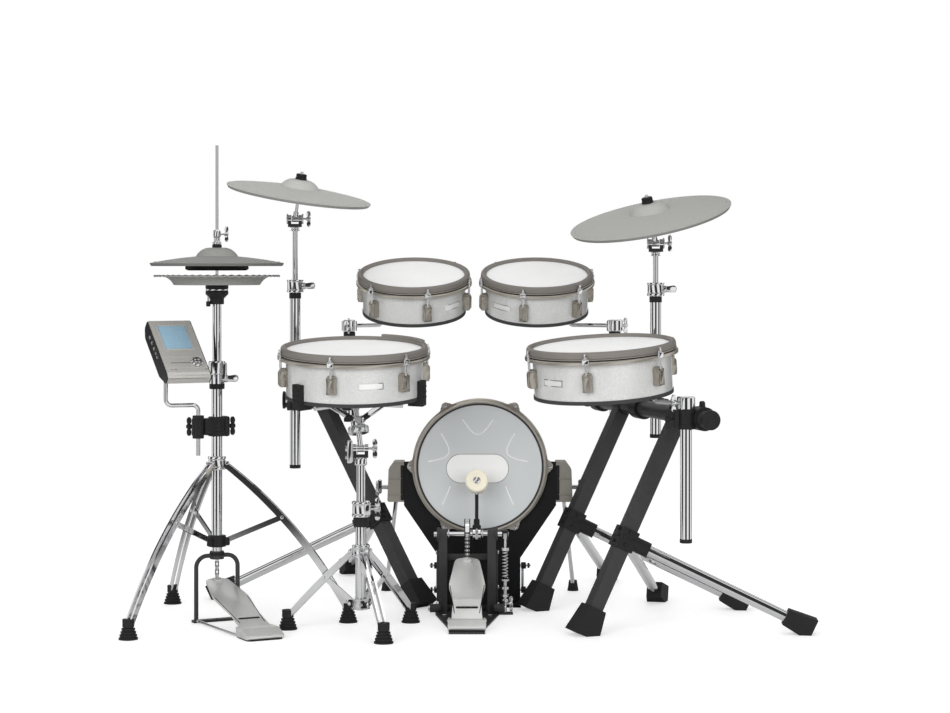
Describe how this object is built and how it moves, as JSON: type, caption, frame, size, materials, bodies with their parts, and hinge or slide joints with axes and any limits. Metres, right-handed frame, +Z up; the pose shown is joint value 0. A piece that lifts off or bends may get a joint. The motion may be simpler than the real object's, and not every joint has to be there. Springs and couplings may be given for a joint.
{
  "type": "electronic drum kit",
  "caption": "Electronic drum kit: mesh-head pads on folding racks and a basket stand, kick tower with chain pedal, rubber cymbals, pedal hi-hat and a small sound module.",
  "frame": {"origin": "on the floor under the kick pad, below the front plane of its head", "axes": "+X to the player's right, +Y away from the player towards the kick pad, +Z up"},
  "size_m": [1.5273, 1.1926, 1.084],
  "materials": {
    "shell_wrap": "silver-white sparkle wrap",
    "drum_head": "white woven mesh",
    "hoop": "taupe-grey moulded rubber",
    "lug_metal": "satin bronze-grey casting",
    "kick_head": "grey smooth plastic",
    "bracket_taupe": "taupe satin moulding",
    "black_steel": "black powder coat",
    "black_plastic": "black moulded plastic",
    "rubber_black": "matt black rubber",
    "chrome": "polished plate",
    "cymbal_rubber": "matt grey rubber",
    "board_metal": "brushed",
    "felt": "cream felt",
    "module_body": "champagne-grey satin"
  },
  "bodies": {
    "stands": {"floor_tom_head": "drum_head", "floor_tom_hoop": "hoop", "floor_tom_shell": "shell_wrap", "hihat_frame": "black_steel", "hihat_heel": "board_metal", "hihat_legs": "chrome", "hihat_tube": "chrome", "kick_brackets": "bracket_taupe", "kick_head": "kick_head", "kick_hoop": "hoop", "kick_plate": "black_steel", "kick_shell": "bracket_taupe", "kick_spurs": "chrome", "pedal_base": "black_steel", "pedal_frame": "black_steel", "pedal_heel": "board_metal", "pedal_spring": "chrome", "pedal_tensioner": "chrome", "rack_clamps": "black_plastic", "rack_front_legs": "black_steel", "rack_posts": "chrome", "rack_rear_legs": "chrome", "rack_tubes": "black_steel", "rubber_feet": "rubber_black", "snare_stand_legs": "chrome", "snare_stand_tube": "chrome", "tom_left_head": "drum_head", "tom_left_hoop": "hoop", "tom_left_shell": "shell_wrap", "tom_lugs": "lug_metal", "tom_right_head": "drum_head", "tom_right_hoop": "hoop", "tom_right_shell": "shell_wrap"},
    "hihat_top": {"hihat_upper_tube": "chrome", "hihat_seat": "black_plastic", "hihat_bottom_cymbal": "cymbal_rubber"},
    "hihat_pull_rod": {"hihat_rod": "chrome", "hihat_clutch": "black_plastic", "hihat_top_cymbal": "cymbal_rubber", "hihat_chain": "chrome"},
    "hihat_board": {"hihat_footboard": "board_metal"},
    "beater": {"pedal_axle": "chrome", "pedal_beater": "felt"},
    "kick_board": {"pedal_footboard": "board_metal"},
    "kick_chain": {"pedal_chain": "black_steel"},
    "crash_slider": {"crash_rod": "chrome"},
    "crash": {"crash_stud": "black_plastic", "crash_cymbal": "cymbal_rubber"},
    "ride_slider": {"ride_rod": "chrome"},
    "ride": {"ride_stud": "black_plastic", "ride_cymbal": "cymbal_rubber"},
    "snare_slider": {"snare_stand_upper": "chrome"},
    "snare": {"snare_basket": "chrome", "snare_grips": "rubber_black", "snare_shell": "shell_wrap", "snare_head": "drum_head", "snare_hoop": "hoop", "snare_lugs": "lug_metal"},
    "module": {"drum_module": "module_body", "module_arm": "chrome"}
  },
  "joints": [
    {"name": "hihat_height", "type": "slide", "parent": "stands", "child": "hihat_top", "axis": [0, 0, 1], "range_m": [-0.06, 0]},
    {"name": "hihat_pull", "type": "slide", "parent": "stands", "child": "hihat_pull_rod", "axis": [0, 0, -1], "range_m": [0, 0.012], "stiffness_N_per_m": 400, "springref_m": -0.06},
    {"name": "hihat_pedal", "type": "hinge", "parent": "stands", "child": "hihat_board", "pos_m": [-0.48877, -0.4583, 0.0185], "axis": [-0.891, -0.454, 0], "range_deg": [0, 3]},
    {"name": "beater_swing", "type": "hinge", "parent": "stands", "child": "beater", "pos_m": [-0.03, -0.11, 0.182], "axis": [-1, 0, 0], "range_deg": [0, 22.5], "stiffness_Nm_per_rad": 2, "springref_deg": -28.65, "deforming": ["pedal_spring"]},
    {"name": "kick_pedal", "type": "hinge", "parent": "stands", "child": "kick_board", "pos_m": [-0.03, -0.365, 0.0205], "axis": [-1, 0, 0], "range_deg": [0, 4.2]},
    {"name": "kick_chain_run", "type": "slide", "parent": "stands", "child": "kick_chain", "axis": [0, 0, -1], "range_m": [0, 0.0158]},
    {"name": "crash_height", "type": "slide", "parent": "stands", "child": "crash_slider", "axis": [0, 0, 1], "range_m": [-0.1, 0.1]},
    {"name": "crash_tilt", "type": "hinge", "parent": "crash_slider", "child": "crash", "pos_m": [-0.453, 0.154, 0.924], "axis": [1, 0, 0], "range_deg": [-15, 20]},
    {"name": "ride_height", "type": "slide", "parent": "stands", "child": "ride_slider", "axis": [0, 0, 1], "range_m": [-0.06, 0.1]},
    {"name": "ride_tilt", "type": "hinge", "parent": "ride_slider", "child": "ride", "pos_m": [0.41078, -0.09949, 0.862], "axis": [1, 0, 0], "range_deg": [-15, 20]},
    {"name": "snare_height", "type": "slide", "parent": "stands", "child": "snare_slider", "axis": [0, 0, 1], "range_m": [-0.06, 0.1]},
    {"name": "snare_tilt", "type": "hinge", "parent": "snare_slider", "child": "snare", "pos_m": [-0.265, -0.385, 0.405], "axis": [1, 0, 0], "range_deg": [-10, 15]},
    {"name": "module_swing", "type": "hinge", "parent": "stands", "child": "module", "pos_m": [-0.64, -0.262, 0.444], "axis": [0, 0, 1], "range_deg": [-25, 25]}
  ],
  "couplings": [
    {"joint": "hihat_pedal", "follows": "hihat_pull", "rad_per_m": 4.0816},
    {"joint": "kick_pedal", "follows": "beater_swing", "ratio": 0.18329},
    {"joint": "kick_chain_run", "follows": "beater_swing", "m_per_rad": 0.0395}
  ]
}
